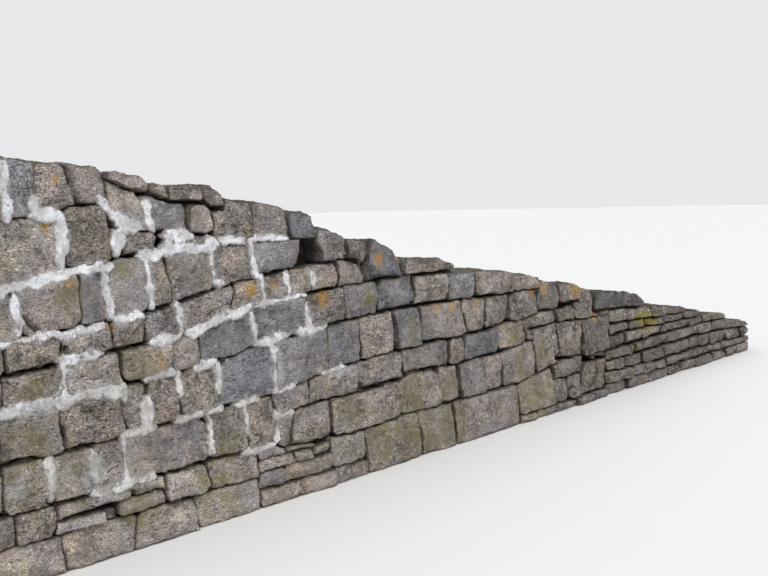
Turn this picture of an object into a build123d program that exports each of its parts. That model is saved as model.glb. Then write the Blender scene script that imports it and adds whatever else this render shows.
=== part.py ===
from build123d import *
import os

# A double-faced field wall of roughly coursed limestone. Two battered leaves
# stand either side of a rubble hearting. The beds run nearly level while the
# head falls to the right, so the upper courses die out one after another.
#
# Axes: +X along the wall, -Y towards the front face, +Z up.
# Origin: middle of the length and of the thickness, on the lowest ground.

# --- overall sizes, millimetres ---
length = 9000.0
tall_end_height = 2065.0
base_thickness = 620.0
batter = 0.045
hearting_width = 160.0
hearting_sunk = 35.0
footing_proud = 14.0
cavity_depth = 130.0

# --- the line where the coursed part is toothed into the thin-bedded part ---
toothing = 1700.0
tooth = 45.0

# Bed lines are lists of (station, height). Stations are fixed to the low end:
# a longer wall runs on past the tall end, with the same beds. A taller end makes
# the head steeper from the first big step on, which is at this station.
first_step = -1800.0

# --- head of the wall: where each stone of the top stops, left to right ---
head_tall = [
    (-4500, 2065), (-4160, 2060), (-4145, 2030), (-3550, 2010), (-3440, 1980),
    (-3320, 1960), (-3020, 1950), (-2985, 1870), (-2860, 1812), (-2700, 1785),
    (-2640, 1750), (-2400, 1740), (-2350, 1705), (-2265, 1705), (-2240, 1770),
    (-2050, 1735), (-1800, 1700), (-1790, 1500), (-1560, 1500), (-1548, 1560),
    (-1340, 1520), (-1300, 1480), (-1070, 1470), (-880, 1410), (-812, 1330),
    (-800, 1212), (-270, 1212), (-255, 1200), (0, 1190), (200, 1178),
    (550, 1115), (735, 1068), (1000, 1010),
]
head_low = [
    (2000, 706), (2360, 690), (2850, 640), (3150, 580), (3400, 530), (3500, 495),
    (3900, 450), (4000, 420), (4150, 352), (4300, 342), (4500, 300),
]
# its last step down, about the toothing
head_step = [(-400, 962), (-250, 930), (-200, 900), (-185, 725)]
ground = [(-4500, 0), (4500, 0)]
sky = [(-4500, 2400), (4500, 2400)]

# --- bed lines of the tall part, which rise out of the wall where they end ---
bed_1 = [
    (-4500, 330), (-3200, 340), (-2050, 350), (-1950, 310), (-1300, 285),
    (-900, 305), (350, 308), (800, 365), (1000, 400), (1300, 400), (1320, 380),
]
bed_2 = [
    (-4500, 565), (-3200, 580), (-2600, 605), (-2020, 625), (-1990, 510),
    (-1600, 520), (-900, 545), (-800, 580), (-300, 560), (200, 570),
    (600, 620), (620, 690), (950, 700), (1300, 680),
]
bed_3 = [
    (-4500, 565), (-3200, 580), (-2600, 605), (-2020, 625), (-1850, 655),
    (-1500, 700), (-900, 735), (0, 750), (300, 765), (500, 785),
    (700, 800),
]
bed_4 = [
    (-4500, 800), (-3600, 812), (-3000, 840), (-2500, 872), (-2300, 888),
    (-2100, 920), (-1800, 950), (-1500, 972), (-700, 1000), (725, 985),
    (740, 1300),
]
bed_5 = [
    (-4500, 975), (-3600, 980), (-3300, 1000), (-2750, 1032), (-2500, 1062),
    (-2130, 1140), (-1750, 1172), (-1370, 1195), (-1180, 1200), (-815, 1208),
    (-805, 1600),
]
bed_6 = [
    (-4500, 1115), (-3600, 1130), (-3200, 1160), (-2800, 1195), (-2600, 1215),
    (-2400, 1260), (-2200, 1290), (-2000, 1312), (-1600, 1345), (-1300, 1352),
    (-1190, 1342), (-1180, 1200), (-815, 1208), (-805, 1600),
]
bed_7 = [
    (-4500, 1345), (-3600, 1368), (-3300, 1420), (-3100, 1432), (-2900, 1478),
    (-2700, 1490), (-2330, 1502), (-2100, 1508), (-1900, 1500), (-1568, 1500),
    (-1556, 1800),
]
bed_8 = [
    (-4500, 1690), (-3600, 1692), (-3250, 1716), (-3200, 1746), (-2985, 1742),
    (-2960, 1622), (-2500, 1576), (-2350, 1560), (-2330, 1502), (-2100, 1508),
    (-1900, 1500), (-1568, 1500), (-1556, 1800),
]

# --- bed lines of the low, thin-bedded part ---
thin_1 = [(toothing, 200), (2600, 170), (3300, 188), (4500, 150)]
thin_2 = [(toothing, 292), (2600, 290), (3500, 300), (4000, 280), (4500, 262)]
thin_3 = [(toothing + tooth, 380), (3300, 405), (3500, 402), (4060, 392), (4500, 700)]
thin_4 = [(toothing, 500), (2800, 485), (3300, 470), (3480, 490), (3500, 900)]
thin_5 = [(toothing, 600), (2100, 578), (2900, 545), (3300, 535), (3390, 900)]

# --- loose cope slabs: the upper outline of each, which lies on the head ---
slab_lean = 8.0
slab_1 = [(-2960, 1908), (-2800, 1884), (-2750, 1850)]
slab_2 = [(-2725, 1848), (-2650, 1836)]
slab_3 = [(-2600, 1832), (-2440, 1834)]
slab_4 = [(-2395, 1832), (-2340, 1826), (-2270, 1772)]
slab_5 = [(-1775, 1655), (-1700, 1664), (-1600, 1625), (-1570, 1560)]
slab_6 = [(-780, 1318), (-480, 1300), (-300, 1248)]
# the last one, about the toothing
slab_7 = [(-165, 878), (300, 840), (540, 790), (645, 728)]

# --- the stone that has fallen out from under slab 5, seen from the front ---
missing_stone = [(-1716, 1520), (-1552, 1520), (-1540, 1385), (-1648, 1400)]

# --- where the wall starts and stops ---
stop = head_low[-1][0]
start = stop - length
above_all = sky[0][1]


def moved(line, along):
    """A line or outline moved along the wall."""
    return [(x + along, z) for x, z in line]


def lifted(line):
    """A line or outline on the head, lifted with the tall end as far as the first step."""
    lift = tall_end_height - head_tall[0][1]
    reach = first_step - head_tall[0][0]
    return [(x, z + lift * max(0, first_step - x) / reach) for x, z in line]


def height(line, x):
    """Height of a bed line at one station."""
    for (xa, za), (xb, zb) in zip(line, line[1:]):
        if xa <= x <= xb:
            return za + (zb - za) * (x - xa) / (xb - xa)
    return line[-1][1] if x > line[-1][0] else line[0][1]


def clip(line, x0, x1):
    """The part of a bed line between two stations."""
    inside = [p for p in line if x0 < p[0] < x1]
    return [(x0, height(line, x0))] + inside + [(x1, height(line, x1))]


def band(lower, upper, x0, x1):
    """Closed outline between two bed lines, in elevation."""
    outline = clip(lower, x0, x1) + clip(upper, x0, x1)[::-1]
    return moved([p for i, p in enumerate(outline) if p != outline[i - 1]], length / 2 - stop)


def meeting(lower, upper):
    """Stations at which two beds have a point in common."""
    return [p[0] for p in upper if p in lower]


def half(z):
    """Half the thickness of the wall at a height."""
    return base_thickness / 2 - batter * z


def leaf(side, proud):
    """Section of one leaf: battered outside, plumb against the hearting."""
    inner = side * hearting_width / 2
    foot = side * (half(0) - footing_proud + proud)
    top = side * (half(above_all) - footing_proud + proud)
    return [(inner, 0), (foot, 0), (top, above_all), (inner, above_all)]


def course(lower, upper, x0, x1, side, proud):
    """Elevation band under the falling head, cut to the section of its leaf."""
    with BuildPart() as block:
        with BuildSketch(Plane.XZ):
            Polygon(*band(lower, upper, x0, x1), align=None)
            Polygon(*band(ground, head, start, stop), align=None, mode=Mode.INTERSECT)
        extrude(amount=base_thickness, both=True)
        with BuildSketch(Plane.YZ):
            Polygon(*leaf(side, proud), align=None)
        extrude(amount=length, both=True, mode=Mode.INTERSECT)
    return block


head = lifted(head_tall + moved(head_step, toothing) + head_low)

# --- courses: name, bed below, bed above, start, stop, how far it stands proud ---
short, long = toothing - tooth, toothing + tooth
courses = [
    ("footing_course", ground, bed_1, start, short, footing_proud),
    ("course_2", bed_1, bed_2, start, long, 4),
    ("levelling_course", bed_2, bed_3, max(meeting(bed_2, bed_3)), long, 0),
    ("course_3", bed_3, bed_4, start, long, 6),
    ("course_4", bed_4, bed_5, start, long, 0),
    ("course_5", bed_5, bed_6, start, min(meeting(bed_5, bed_6)), 5),
    ("course_6", bed_6, bed_7, start, long, 2),
    ("course_7", bed_7, bed_8, start, min(meeting(bed_7, bed_8)), 7),
    ("course_8", bed_8, sky, start, long, 3),
    ("thin_bed_1", ground, thin_1, short, stop, footing_proud),
    ("thin_bed_2", thin_1, thin_2, short, stop, 4),
    ("thin_bed_3", thin_2, thin_3, short, stop, 9),
    ("thin_bed_4", thin_3, thin_4, long, stop, 2),
    ("thin_bed_5", thin_4, thin_5, long, stop, 6),
    ("thin_bed_6", thin_5, sky, long, stop, 0),
]

os.makedirs("parts", exist_ok=True)

for name, lower, upper, x0, x1, proud in courses:
    for face, side in (("front", -1), ("back", 1)):
        piece = course(lower, upper, x0, x1, side, proud)
        if name == "course_6" and face == "front":
            pocket_floor = half(missing_stone[0][1]) - cavity_depth
            with BuildPart() as hollowed:
                add(piece.part)
                with BuildSketch(Plane.XZ.offset(pocket_floor)):
                    Polygon(*moved(missing_stone, length / 2 - stop), align=None)
                extrude(amount=cavity_depth * 2, mode=Mode.SUBTRACT)
            piece = hollowed
        piece.part.label = f"{face}_{name}"
        export_step(piece.part, f"parts/{face}_{name}.step")

# hearting: small rubble packed between the leaves, sunk a little below the head
with BuildPart() as hearting:
    with BuildSketch(Plane.XZ):
        Polygon(*band(ground, [(x, z - hearting_sunk) for x, z in head], start, stop), align=None)
    extrude(amount=hearting_width / 2, both=True)
hearting.part.label = "hearting"
export_step(hearting.part, "parts/hearting.step")

# --- cope slabs: name, upper outline, how far it oversails the face, its depth ---
slabs = [
    ("cope_slab_1", slab_1, 5, 350),
    ("cope_slab_2", slab_2, -1, 290),
    ("cope_slab_3", slab_3, 1, 370),
    ("cope_slab_4", slab_4, -2, 325),
    ("cope_slab_5", slab_5, 1, 340),
    ("cope_slab_6", slab_6, -2, 440),
    ("cope_slab_7", moved(slab_7, toothing), -6, 485),
]

for name, top, oversail, depth in slabs:
    seat = clip(head, top[0][0] - slab_lean, top[-1][0] + slab_lean)
    front = half(seat[0][1]) + oversail
    with BuildPart() as slab:
        with BuildSketch(Plane.XZ.offset(front)):
            Polygon(*moved(seat + lifted(top)[::-1], length / 2 - stop), align=None)
        extrude(amount=-depth)
    slab.part.label = name
    export_step(slab.part, f"parts/{name}.step")
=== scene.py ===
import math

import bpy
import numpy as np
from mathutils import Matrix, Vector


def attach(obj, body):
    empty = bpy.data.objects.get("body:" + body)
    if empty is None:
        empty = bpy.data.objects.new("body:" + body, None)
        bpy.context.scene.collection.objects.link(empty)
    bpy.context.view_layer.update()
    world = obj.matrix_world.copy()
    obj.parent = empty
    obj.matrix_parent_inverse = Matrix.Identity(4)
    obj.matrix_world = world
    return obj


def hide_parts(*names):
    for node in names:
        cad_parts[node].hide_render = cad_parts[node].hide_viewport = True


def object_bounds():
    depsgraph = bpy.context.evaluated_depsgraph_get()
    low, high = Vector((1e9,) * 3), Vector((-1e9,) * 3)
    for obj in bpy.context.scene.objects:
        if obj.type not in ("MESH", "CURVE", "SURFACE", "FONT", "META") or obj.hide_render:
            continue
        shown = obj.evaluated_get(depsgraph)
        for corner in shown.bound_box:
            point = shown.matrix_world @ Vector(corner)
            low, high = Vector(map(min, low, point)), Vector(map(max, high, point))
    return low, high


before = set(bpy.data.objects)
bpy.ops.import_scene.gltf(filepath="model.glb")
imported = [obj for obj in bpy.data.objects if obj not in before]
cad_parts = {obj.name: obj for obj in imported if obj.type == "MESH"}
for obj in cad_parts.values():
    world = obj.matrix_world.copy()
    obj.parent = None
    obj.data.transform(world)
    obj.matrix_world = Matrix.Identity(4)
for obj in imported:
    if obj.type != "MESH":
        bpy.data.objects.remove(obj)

# %% [markdown]
# # A limestone field wall, laid stone by stone
#
# The wall has two leaves of squared rubble with small stones packed between
# them. Its beds run nearly level, while its head falls from left to right.
# Here each course of the frame becomes a row of separate stones, cut to the
# same bed lines. Stones painted on a flat face would be lighter, but the joints
# are deep and cast shadows, so every stone is modelled by itself.
# Lengths are metres; +X runs along the wall, the face that is seen looks
# towards -Y, and the ground is at height 0.

FRAME_LOW, FRAME_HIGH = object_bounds()
LEFT, RIGHT = FRAME_LOW.x, FRAME_HIGH.x
BASE_HALF = FRAME_HIGH.y  # half the wall's thickness at the ground
BATTER = 0.045  # how far a face leans back over one metre of height
CORE_HALF = 0.080  # half the width of the rubble between the leaves
TOOTH = 1.70  # about here the squared courses end and the thin beds begin
SHORT, LONG = TOOTH - 0.045, TOOTH + 0.045  # the two stations at which they meet
SKY = 9.0  # the bed over a top course: higher than everything
print("frame box", tuple(FRAME_LOW), tuple(FRAME_HIGH))

# %% [markdown]
# ## Bed lines
#
# A bed is the joint between two courses. It could be a curve object; a list of
# (distance along the wall, height) points, joined by straight runs, is enough,
# since numpy reads it for all the points of a stone at once. `HEAD` is where
# the wall stops; the courses die out under it.

# %% The head and the beds of the tall part
HEAD = [
    (LEFT, 2.065), (-4.16, 2.06), (-4.145, 2.03), (-3.55, 2.01), (-3.44, 1.98), (-3.32, 1.96),
    (-3.02, 1.95), (-2.985, 1.87), (-2.86, 1.812), (-2.7, 1.785), (-2.64, 1.75), (-2.4, 1.74),
    (-2.35, 1.705), (-2.265, 1.705), (-2.24, 1.77), (-2.05, 1.735), (-1.8, 1.7), (-1.79, 1.5),
    (-1.56, 1.5), (-1.548, 1.56), (-1.34, 1.52), (-1.3, 1.48), (-1.07, 1.47), (-0.88, 1.41),
    (-0.812, 1.33), (-0.8, 1.212), (-0.27, 1.212), (-0.255, 1.2), (0.0, 1.19), (0.2, 1.178),
    (0.55, 1.115), (0.735, 1.068), (1.0, 1.01), (1.3, 0.962), (1.45, 0.93), (1.5, 0.9), (1.515, 0.725),
    (2.0, 0.706), (2.36, 0.69), (2.85, 0.64), (3.15, 0.58), (3.4, 0.53), (3.5, 0.495), (3.9, 0.45),
    (4.0, 0.42), (4.15, 0.352), (4.3, 0.342), (RIGHT, 0.3),
]
BED_1 = [
    (LEFT, 0.33), (-3.2, 0.34), (-2.05, 0.35), (-1.95, 0.31), (-1.3, 0.285), (-0.9, 0.305),
    (0.35, 0.308), (0.8, 0.365), (1.0, 0.4), (1.3, 0.4), (1.32, 0.38),
]
BED_2 = [
    (LEFT, 0.565), (-3.2, 0.58), (-2.6, 0.605), (-2.02, 0.625), (-1.99, 0.51), (-1.6, 0.52),
    (-0.9, 0.545), (-0.8, 0.58), (-0.3, 0.56), (0.2, 0.57), (0.6, 0.62), (0.62, 0.69), (0.95, 0.7),
    (1.3, 0.68),
]
BED_3 = [p for p in BED_2 if p[0] <= -2.02] + [
    (-1.85, 0.655), (-1.5, 0.7), (-0.9, 0.735), (0.0, 0.75), (0.3, 0.765), (0.5, 0.785), (0.7, 0.8),
]
BED_4 = [
    (LEFT, 0.8), (-3.6, 0.812), (-3.0, 0.84), (-2.5, 0.872), (-2.3, 0.888), (-2.1, 0.92), (-1.8, 0.95),
    (-1.5, 0.972), (-0.7, 1.0), (0.725, 0.985), (0.74, 1.3),
]
BED_5 = [
    (LEFT, 0.975), (-3.6, 0.98), (-3.3, 1.0), (-2.75, 1.032), (-2.5, 1.062), (-2.13, 1.14),
    (-1.75, 1.172), (-1.37, 1.195), (-1.18, 1.2), (-0.815, 1.208), (-0.805, 1.6),
]
BED_6 = [
    (LEFT, 1.115), (-3.6, 1.13), (-3.2, 1.16), (-2.8, 1.195), (-2.6, 1.215), (-2.4, 1.26), (-2.2, 1.29),
    (-2.0, 1.312), (-1.6, 1.345), (-1.3, 1.352), (-1.19, 1.342),
] + [p for p in BED_5 if p[0] >= -1.18]
BED_7 = [
    (LEFT, 1.345), (-3.6, 1.368), (-3.3, 1.42), (-3.1, 1.432), (-2.9, 1.478), (-2.7, 1.49),
    (-2.33, 1.502), (-2.1, 1.508), (-1.9, 1.5), (-1.568, 1.5), (-1.556, 1.8),
]
BED_8 = [
    (LEFT, 1.69), (-3.6, 1.692), (-3.25, 1.716), (-3.2, 1.746), (-2.985, 1.742), (-2.96, 1.622),
    (-2.5, 1.576), (-2.35, 1.56),
] + [p for p in BED_7 if p[0] >= -2.33]

# %% The beds of the low, thin-bedded part
THIN_1 = [(TOOTH, 0.2), (2.6, 0.17), (3.3, 0.188), (RIGHT, 0.15)]
THIN_2 = [(TOOTH, 0.292), (2.6, 0.29), (3.5, 0.3), (4.0, 0.28), (RIGHT, 0.262)]
THIN_3 = [(LONG, 0.38), (3.3, 0.405), (3.5, 0.402), (4.06, 0.392), (RIGHT, 0.7)]
THIN_4 = [(TOOTH, 0.5), (2.8, 0.485), (3.3, 0.47), (3.48, 0.49), (3.5, 0.9)]
THIN_5 = [(TOOTH, 0.6), (2.1, 0.578), (2.9, 0.545), (3.3, 0.535), (3.39, 0.9)]


def level(line, x):
    """Height of a bed line at x: linear between its points, or the line itself if it is a number."""
    if isinstance(line, (int, float)):
        return np.full(np.shape(x), float(line))
    stations, heights = zip(*line)
    return np.interp(x, stations, heights)


def face(z):
    """Half the wall's thickness at height z: BASE_HALF - BATTER * z."""
    return BASE_HALF - BATTER * z


print("the head falls from", HEAD[0][1], "to", HEAD[-1][1])

# %% [markdown]
# ## The mason's schedule
#
# One entry is a row of stones: the frame's course that it stands for, the bed
# under it, the bed over it, the upright joints between its stones, and a letter
# for each stone's look. A joint is the distance along the wall, or a pair of
# that distance and how far it leans over one metre of height. The joints are
# written down one by one because every stone of a real wall is its own size.
#
# * `n` brown-grey, `b` blue-grey, `w` dark and weathered, `c` crusted with lichen
# * `y` plain and even, `d` pale with dust, `m` sunk behind the mortar, `.` no stone there

# %% Rows of the front leaf
FOOT, LEVELLING, THIN = "footing_course", "levelling_course", "thin_bed_"
ROWS = [
    (FOOT, 0, 0.185, [LEFT, -4.12, -3.74, -3.38, -2.98, -2.6, -2.15], "nnyndd"),
    (FOOT, 0.185, BED_1, [LEFT, -4.21, -3.93, -3.62, -3.4], "nnnc"),
    (FOOT, 0.185, 0.25, [-3.4, -3.14, -3.07], "dm"),
    (FOOT, 0.185, [(-3.07, 0.268), (-2.78, 0.272)], [-3.07, -2.78], "d"),
    (FOOT, [(-3.4, 0.25), (-3.07, 0.268), (-2.78, 0.272)], BED_1, [-3.4, (-2.98, 0.2), -2.78], "dd"),
    (FOOT, 0.185, BED_1, [-2.78, -2.5, -2.15], "dc"),
    (FOOT, 0, 0.1, [-2.15, -1.86, -1.55, -1.26], "dyn"),
    (FOOT, 0.1, 0.205, [-2.15, -1.95, -1.58], "dd"),
    (FOOT, 0.205, 0.275, [-2.15, -1.87, -1.73, -1.58], "dcd"),
    (FOOT, 0.275, BED_1, [-2.15, -1.93, -1.72, -1.58], "ddd"),
    (FOOT, 0.1, BED_1, [-1.58, -1.26], "d"),
    (FOOT, 0, BED_1, [-1.26, (-0.735, -0.15), -0.37, (0.385, -0.1)], "yyy"),
    (FOOT, 0, 0.065, [0.385, 0.62, 0.87, 1.18, 1.45, SHORT], "ynnwn"),
    (FOOT, 0.065, BED_1, [(0.385, -0.1), 0.865], "y"),
    (FOOT, 0.065, 0.258, [0.865, 1.075, 1.26], "nw"),
    (FOOT, 0.258, BED_1, [0.865, 1.29], "w"),
    (FOOT, 0.065, [(1.2, 0.258), (1.29, 0.27), (1.31, 0.335), (SHORT, 0.318)], [1.26, SHORT], "w"),
    (FOOT, 0.33, BED_1, [1.29, 1.47, SHORT], ".m"),
    ("course_2", BED_1, BED_2, [LEFT, -4.16, -3.9, -3.66, (-3.43, -0.1), -3.18, -3.015, (-2.47, -0.08),
     -2.21, -2.0, -1.87, -1.555, (-0.91, -0.12), -0.52, -0.29, 0.01, 0.21, 0.61, (0.975, -0.06), 1.325,
     LONG], "nyncywywwnnnyybwnwww"),
    (LEVELLING, BED_2, BED_3, [-2.0, -1.72, -1.31, -0.875, (-0.395, 0.1), -0.24, 0.185, 0.505, 0.95,
     1.235], "nnnbnbnww"),
    (LEVELLING, BED_2, [(1.235, 0.835), (1.315, 0.845), (1.345, 1.2), (1.51, 1.2)], [1.235, 1.505],
     "w"),
    (LEVELLING, BED_2, SKY, [1.51, LONG], "n"),
    ("course_3", BED_3, BED_4, [LEFT, -4.2, -3.92, -3.66, (-3.345, -0.1), -3.0, -2.85, -2.645, -2.39,
     -1.965, (-1.545, 0.08), -1.255, (-0.915, 0.06), -0.665, -0.21, 0.025, 0.335, 0.73, 1.015],
     "nbnwwwwwbbbcbnnwwn"),
    ("course_3", 0.835, BED_4, [1.015, 1.33], "w"),
    ("course_4", BED_4, BED_5, [LEFT, -4.22, -3.95, -3.62, -3.305, -2.975, -2.675, -2.5, -2.105, -1.7,
     -1.365, -1.055, -0.7, (-0.36, 0.08), -0.06, (0.455, 0.2), 0.735], "nnywdcnbbwbbcbnn"),
    ("course_5", BED_5, BED_6, [LEFT, -4.18, -3.9, -3.6, -3.305, -3.02, -2.82, -2.61, -2.22, -2.02,
     -1.83, -1.64, -1.43, -1.18], "nwnwwnwccncnn"),
    ("course_6", BED_6, BED_7, [LEFT, -4.24, -3.86, (-3.51, -0.1), -3.19, (-3.04, -0.12),
     (-2.78, -0.05), -2.655, -2.375, -2.08, (-1.73, 0.1)], "bwnybbnnnb"),
    ("course_6", BED_6, BED_7, [(-1.56, -0.25), (-1.305, -0.2), (-1.135, 0.28), -0.815], "nnb"),
    ("course_7", BED_7, BED_8, [LEFT, -4.13, -3.9, -3.64, -3.26, -2.985, -2.935, -2.72, -2.51, -2.4,
     -2.33], "nwncw.w.n."),
    ("course_8", BED_8, SKY, [LEFT, -4.15, -3.85, -3.54, -3.385, (-3.175, -0.35), -2.985,
     (-2.775, -0.35), -2.505, -2.345, -2.065, -1.795], "nbbbwddbdwn"),
]
print(sum(len(row[4]) for row in ROWS), "stones scheduled for the tall part")

# %% [markdown]
# The low part and the back are laid by rule instead, with stones of uneven
# length: the low part's are thin and alike, and the back isn't in the picture.


# %% Rows laid by rule
def uneven(x0, x1, mean, seed):
    """Joints from x0 to x1, with widths mean * (0.55 to 1.45) and then stretched to end at x1."""
    count = max(1, round((x1 - x0) / mean))
    widths = np.random.default_rng(seed).uniform(0.55, 1.45, count)
    return [x0, *(x0 + (x1 - x0) * np.cumsum(widths) / widths.sum())]


def shuffled(joints, seed, letters):
    """One look letter for each stone between the joints."""
    return "".join(np.random.default_rng(seed).choice(list(letters), len(joints) - 1))


# %% Beds that are filled by rule: course, lower, upper, start, stop, mean width
THIN_BEDS = [
    (THIN + "1", 0, 0.098, SHORT, RIGHT, 0.30), (THIN + "1", 0.098, THIN_1, SHORT, RIGHT, 0.34),
    (THIN + "2", THIN_1, THIN_2, SHORT, RIGHT, 0.33), (THIN + "3", THIN_2, THIN_3, SHORT, RIGHT, 0.38),
    (THIN + "4", THIN_3, THIN_4, LONG, 3.96, 0.36), (THIN + "5", THIN_4, THIN_5, LONG, 3.42, 0.34),
    (THIN + "6", THIN_5, SKY, LONG, 3.17, 0.32),
]
COURSE_BEDS = [
    (FOOT, 0, 0.17, LEFT, SHORT, 0.38), (FOOT, 0.17, BED_1, LEFT, SHORT, 0.34),
    ("course_2", BED_1, BED_2, LEFT, LONG, 0.30), (LEVELLING, BED_2, BED_3, -2.0, LONG, 0.40),
    ("course_3", BED_3, BED_4, LEFT, 1.50, 0.31), ("course_4", BED_4, BED_5, LEFT, 0.735, 0.34),
    ("course_5", BED_5, BED_6, LEFT, -1.18, 0.28), ("course_6", BED_6, BED_7, LEFT, -0.81, 0.30),
    ("course_7", BED_7, BED_8, LEFT, -2.97, 0.30), ("course_7", BED_7, BED_8, -2.97, -2.33, 0.30),
    ("course_8", BED_8, SKY, LEFT, -2.995, 0.34), ("course_8", BED_8, SKY, -2.995, -1.795, 0.34),
]


def by_rule(beds, seed, letters):
    """Rows of uneven stones, one for each bed."""
    rows = []
    for i, (course, lower, upper, start, stop, mean) in enumerate(beds):
        joints = uneven(start, stop, mean, seed + i)
        rows.append((course, lower, upper, joints, shuffled(joints, seed + 20 + i, letters)))
    return rows


ROWS += by_rule(THIN_BEDS, 40, "nnnwyc")
BACK_ROWS = by_rule(COURSE_BEDS + THIN_BEDS, 90, "nnnbwc")
print(sum(len(row[4]) for row in ROWS), "front stones,", sum(len(row[4]) for row in BACK_ROWS), "back stones")

# %% [markdown]
# ## Noise
#
# Split stone is rough at every size. A Displace modifier could do that, but
# neighbouring stones have to wander together, so the roughness is worked out
# here: random numbers on a cubic lattice, blended along each axis by the smooth
# step 3t^2 - 2t^3. Octaves of it are added, each half as large and a little
# over half as strong as the one before.

# %% Lattice noise over whole arrays
LATTICE_SIZE = 64
LATTICE = np.random.default_rng(3).uniform(-1, 1, (LATTICE_SIZE, LATTICE_SIZE, LATTICE_SIZE))
SEED_SHIFT = 11.37  # lattice cells between what two seeds read
FADE = 0.55  # strength of an octave over that of the one before


def noise(points, size, seed=0):
    """Value noise in -1..1 at points (n, 3), with lattice cells of the given size."""
    q = points / size + seed * SEED_SHIFT
    cell = np.floor(q).astype(int)
    t = q - cell
    t = t * t * (3 - 2 * t)
    total = np.zeros(len(points))
    for corner in np.ndindex(2, 2, 2):
        i, j, k = ((cell + corner) % LATTICE_SIZE).T
        weight = np.prod(np.where(corner, t, 1 - t), axis=1)
        total += weight * LATTICE[i, j, k]
    return total


def rough(points, size, octaves, seed=0):
    """Sum of noise(size / 2^i) * FADE^i over the octaves."""
    return sum(FADE**i * noise(points, size / 2**i, seed + 5 * i) for i in range(octaves))


def on_face(x, z):
    """Points (x, 0, z), for noise that doesn't change through the wall."""
    return np.stack([x, np.zeros_like(x), z], 1)


print("lattice", LATTICE.shape)

# %% [markdown]
# ## One stone
#
# A real one was split along its bed and roughly squared with a hammer. It could
# be carved from a cube by modifiers, one after another; worked out as arrays,
# four hundred of them take a few seconds. A stone starts as a block: a gridded
# front face, whose outline is carried back through the wall. Three formulas
# make it a stone.
#
# 1. Its corners are broken in elevation: a point at (dx, dz) inside a corner's
#    square is scaled by max(|dx|, |dz|) / norm(dx, dz). With the round norm the
#    square becomes a quarter circle, with |dx| + |dz| it becomes a straight cut.
# 2. Its front arris is rounded: at a distance m inside the outline the face
#    lies r * (1 - sqrt(1 - (1 - m / r)^2)) behind its middle.
# 3. Random planes n.p = c chip its corners: p - n * max(0, n.p - c).
#
# Then its sides follow its joints and beds, which wander by one noise that all
# stones share, so that neighbours still fit. Its face is split: the lowest of a few
# sloping planes, roughened by more noise, which also bites into its edges. Near
# the mortar it is dressed level with it.


# %% Blocks
def grid_quads(number):
    """The quads of a grid whose vertices have these numbers."""
    return np.stack([number[:-1, :-1], number[1:, :-1], number[1:, 1:], number[:-1, 1:]], -1).reshape(-1, 4)


def block(xs, zs, depths):
    """A grid of xs by zs, its outline carried back through the depths: (vertices, quads, closing ring)."""
    number = np.arange(len(xs) * len(zs)).reshape(len(xs), len(zs))
    gx, gz = np.meshgrid(xs, zs, indexing="ij")
    front = on_face(gx.ravel(), gz.ravel())
    rim = np.concatenate([number[:, 0], number[-1, 1:], number[-2::-1, -1], number[0, -2:0:-1]])
    quads, rings, points = [grid_quads(number)], [rim], [front]
    for k, depth in enumerate(depths):
        rings.append(number.size + k * len(rim) + np.arange(len(rim)))
        points.append(front[rim] + (0, depth, 0))
        a, b = rings[-2], rings[-1]
        quads.append(np.stack([a, b, np.roll(b, -1), np.roll(a, -1)], 1))
    return np.concatenate(points), np.concatenate(quads), rings[-1][::-1]


def grid_lines(half, cell, margin):
    """Lines from -half to half: even inside, and closer within the margin of each end."""
    inner = np.linspace(margin - half, half - margin, max(2, round(2 * (half - margin) / cell) + 1))
    edge = half - margin * np.array([0.50, 0.15, 0.0])
    return np.concatenate([-edge[::-1], inner, edge])


# %% Rounding and chipping
def break_corners(x, z, half_x, half_z, radii, blunts):
    """Formula 1, with a radius for each of four corners, and blunt from 0, round, to 1, a straight cut."""
    corner = (x > 0) + 2 * (z > 0)
    radius, blunt = radii[corner], blunts[corner]
    qx = np.clip(x, radius - half_x, half_x - radius)
    qz = np.clip(z, radius - half_z, half_z - radius)
    dx, dz = x - qx, z - qz
    norm = np.hypot(dx, dz) * (1 - blunt) + (abs(dx) + abs(dz)) * blunt
    scale = np.maximum(abs(dx), abs(dz)) / np.maximum(norm, 1e-9)
    return qx + dx * scale, qz + dz * scale


def arris_drop(inside, radius):
    """Formula 2."""
    m = np.clip(inside / radius, 0, 1)
    return radius * (1 - np.sqrt(1 - (1 - m) ** 2))


def chip(points, half_x, half_z, rng, depth, most=3):
    """Formula 3: a few planes across the front corners."""
    for _ in range(rng.integers(1, most + 1)):
        normal = np.array([rng.choice([-1, 1]) * rng.uniform(0.2, 1), -rng.uniform(0.35, 1.3),
                           rng.choice([-1, 1]) * rng.uniform(0.2, 1)])
        normal /= np.linalg.norm(normal)
        reach = abs(normal[0]) * half_x + abs(normal[2]) * half_z
        over = np.maximum(0, points @ normal - (reach - rng.uniform(0.2, 1) * depth))
        points = points - over[:, None] * normal
    return points


# %% A block made a stone, before it has a place
SHARP, BROKEN = (0.003, 0.012), (0.018, 0.045)  # radii of a stone's corners in elevation
TAPER = 0.06  # how much narrower a stone is at its tail


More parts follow.
